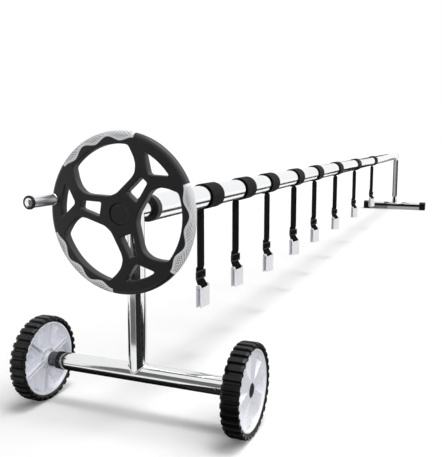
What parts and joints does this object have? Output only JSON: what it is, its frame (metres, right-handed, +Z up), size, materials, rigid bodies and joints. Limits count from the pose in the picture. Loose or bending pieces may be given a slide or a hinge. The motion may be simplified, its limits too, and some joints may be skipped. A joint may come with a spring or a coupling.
{
  "type": "pool cover reel",
  "caption": "Telescoping pool cover reel with a crank handwheel, a wheeled stand, a plain rear stand and hanging straps that hold the cover.",
  "frame": {"origin": "centre of the footprint on the floor", "axes": "+X along the reel from the handwheel to the rear stand, +Y to the left seen from the handwheel, +Z up"},
  "size_m": [5.845, 0.6902, 0.7905],
  "materials": {
    "stand_steel": "polished stainless steel tube",
    "reel_aluminium": "bright anodised tube",
    "shaft_steel": "turned stainless steel",
    "chromed_plastic": "chromed moulding",
    "black_plastic": "satin black moulding",
    "dark_plastic": "black moulding",
    "grey_plastic": "dark grey moulding",
    "silver_grip": "silver grained moulding",
    "white_plastic": "satin white moulding",
    "tyre_rubber": "matt black with block tread",
    "webbing": "woven black webbing"
  },
  "bodies": {
    "front_stand": {"front_base_tube": "stand_steel", "front_post": "stand_steel", "front_sleeve": "stand_steel", "axle_plug_left": "grey_plastic", "axle_plug_right": "grey_plastic", "axle_screw_left": "shaft_steel", "axle_screw_right": "shaft_steel"},
    "wheel_left": {"wheel_left_rim": "white_plastic", "wheel_left_tyre": "tyre_rubber", "wheel_left_cap": "dark_plastic"},
    "wheel_right": {"wheel_right_rim": "white_plastic", "wheel_right_tyre": "tyre_rubber", "wheel_right_cap": "dark_plastic"},
    "reel": {"drive_shaft": "shaft_steel", "handwheel_body": "black_plastic", "grip_insert_1": "silver_grip", "grip_insert_2": "silver_grip", "grip_insert_3": "silver_grip", "hub_bolt_cap": "dark_plastic", "crank_socket": "chromed_plastic", "front_plug": "dark_plastic", "front_tube": "reel_aluminium", "middle_tube": "reel_aluminium", "seam_screw_left": "shaft_steel", "seam_screw_right": "shaft_steel"},
    "crank_handle": {"crank_grip": "chromed_plastic", "crank_grip_ring": "dark_plastic", "crank_grip_cap": "chromed_plastic"},
    "rear_reel": {"rear_tube": "reel_aluminium", "rear_plug": "dark_plastic", "rear_shaft": "shaft_steel"},
    "rear_stand": {"rear_base_tube": "stand_steel", "rear_post": "stand_steel", "rear_sleeve": "stand_steel", "rear_foot_cap_left": "dark_plastic", "rear_foot_cap_right": "dark_plastic"},
    "strap_1": {"strap_1": "webbing", "buckle_1": "dark_plastic"},
    "tab_1": {"tab_1": "white_plastic"},
    "strap_2": {"strap_2": "webbing", "buckle_2": "dark_plastic"},
    "tab_2": {"tab_2": "white_plastic"},
    "strap_3": {"strap_3": "webbing", "buckle_3": "dark_plastic"},
    "tab_3": {"tab_3": "white_plastic"},
    "strap_4": {"strap_4": "webbing", "buckle_4": "dark_plastic"},
    "tab_4": {"tab_4": "white_plastic"},
    "strap_5": {"strap_5": "webbing", "buckle_5": "dark_plastic"},
    "tab_5": {"tab_5": "white_plastic"},
    "strap_6": {"strap_6": "webbing", "buckle_6": "dark_plastic"},
    "tab_6": {"tab_6": "white_plastic"},
    "strap_7": {"strap_7": "webbing", "buckle_7": "dark_plastic"},
    "tab_7": {"tab_7": "white_plastic"},
    "strap_8": {"strap_8": "webbing", "buckle_8": "dark_plastic"},
    "tab_8": {"tab_8": "white_plastic"}
  },
  "joints": [
    {"name": "wheel_left_roll", "type": "hinge", "parent": "front_stand", "child": "wheel_left", "pos_m": [-2.73245, 0.3201, 0.12469], "axis": [0, 1, 0], "continuous": true},
    {"name": "wheel_right_roll", "type": "hinge", "parent": "front_stand", "child": "wheel_right", "pos_m": [-2.73245, -0.3201, 0.12469], "axis": [0, 1, 0], "continuous": true},
    {"name": "reel_turn", "type": "hinge", "parent": "front_stand", "child": "reel", "pos_m": [-2.73245, 0, 0.578], "axis": [1, 0, 0], "continuous": true},
    {"name": "crank_handle_spin", "type": "hinge", "parent": "reel", "child": "crank_handle", "pos_m": [-2.73245, 0.1985, 0.61], "axis": [1, 0, 0], "continuous": true},
    {"name": "stand_slide", "type": "slide", "parent": "front_stand", "child": "rear_stand", "axis": [1, 0, 0], "range_m": [-0.6, 0.3]},
    {"name": "rear_tube_slide", "type": "slide", "parent": "reel", "child": "rear_reel", "axis": [1, 0, 0], "range_m": [-0.6, 0.3]},
    {"name": "strap_1_turn", "type": "hinge", "parent": "reel", "child": "strap_1", "pos_m": [-2.24545, 0, 0.578], "axis": [1, 0, 0], "continuous": true},
    {"name": "tab_1_swing", "type": "hinge", "parent": "strap_1", "child": "tab_1", "pos_m": [-2.24615, 0.01803, 0.262], "axis": [0.9962, -0.0872, 0], "range_deg": [-60, 60]},
    {"name": "strap_2_turn", "type": "hinge", "parent": "reel", "child": "strap_2", "pos_m": [-1.90745, 0, 0.578], "axis": [1, 0, 0], "continuous": true},
    {"name": "tab_2_swing", "type": "hinge", "parent": "strap_2", "child": "tab_2", "pos_m": [-1.90884, 0.01912, 0.262], "axis": [0.9848, -0.1736, 0], "range_deg": [-60, 60]},
    {"name": "strap_3_turn", "type": "hinge", "parent": "reel", "child": "strap_3", "pos_m": [-1.59645, 0, 0.578], "axis": [1, 0, 0], "continuous": true},
    {"name": "tab_3_swing", "type": "hinge", "parent": "strap_3", "child": "tab_3", "pos_m": [-1.59784, -0.00788, 0.262], "axis": [0.9848, -0.1736, 0], "range_deg": [-60, 60]},
    {"name": "strap_4_turn", "type": "hinge", "parent": "reel", "child": "strap_4", "pos_m": [-1.17045, 0, 0.578], "axis": [1, 0, 0], "continuous": true},
    {"name": "tab_4_swing", "type": "hinge", "parent": "strap_4", "child": "tab_4", "pos_m": [-1.17279, -0.00765, 0.262], "axis": [0.9563, -0.2924, 0], "range_deg": [-60, 60]},
    {"name": "strap_5_turn", "type": "hinge", "parent": "reel", "child": "strap_5", "pos_m": [-0.75045, 0, 0.578], "axis": [1, 0, 0], "continuous": true},
    {"name": "tab_5_swing", "type": "hinge", "parent": "strap_5", "child": "tab_5", "pos_m": [-0.75265, -0.00769, 0.262], "axis": [0.9613, -0.2756, 0], "range_deg": [-60, 60]},
    {"name": "strap_6_turn", "type": "hinge", "parent": "reel", "child": "strap_6", "pos_m": [-0.20845, 0, 0.578], "axis": [1, 0, 0], "continuous": true},
    {"name": "tab_6_swing", "type": "hinge", "parent": "strap_6", "child": "tab_6", "pos_m": [-0.21105, -0.00756, 0.262], "axis": [0.9455, -0.3256, 0], "range_deg": [-60, 60]},
    {"name": "strap_7_turn", "type": "hinge", "parent": "reel", "child": "strap_7", "pos_m": [0.44955, 0, 0.578], "axis": [1, 0, 0], "continuous": true},
    {"name": "tab_7_swing", "type": "hinge", "parent": "strap_7", "child": "tab_7", "pos_m": [0.44694, -0.00756, 0.262], "axis": [0.9455, -0.3256, 0], "range_deg": [-60, 60]},
    {"name": "strap_8_turn", "type": "hinge", "parent": "rear_reel", "child": "strap_8", "pos_m": [1.24755, 0, 0.578], "axis": [1, 0, 0], "continuous": true},
    {"name": "tab_8_swing", "type": "hinge", "parent": "strap_8", "child": "tab_8", "pos_m": [1.24468, -0.00747, 0.262], "axis": [0.9336, -0.3584, 0], "range_deg": [-60, 60]}
  ],
  "couplings": [
    {"joint": "rear_tube_slide", "follows": "stand_slide", "ratio": 1},
    {"joint": "strap_1_turn", "follows": "reel_turn", "ratio": -1},
    {"joint": "strap_2_turn", "follows": "reel_turn", "ratio": -1},
    {"joint": "strap_3_turn", "follows": "reel_turn", "ratio": -1},
    {"joint": "strap_4_turn", "follows": "reel_turn", "ratio": -1},
    {"joint": "strap_5_turn", "follows": "reel_turn", "ratio": -1},
    {"joint": "strap_6_turn", "follows": "reel_turn", "ratio": -1},
    {"joint": "strap_7_turn", "follows": "reel_turn", "ratio": -1},
    {"joint": "strap_8_turn", "follows": "reel_turn", "ratio": -1}
  ]
}
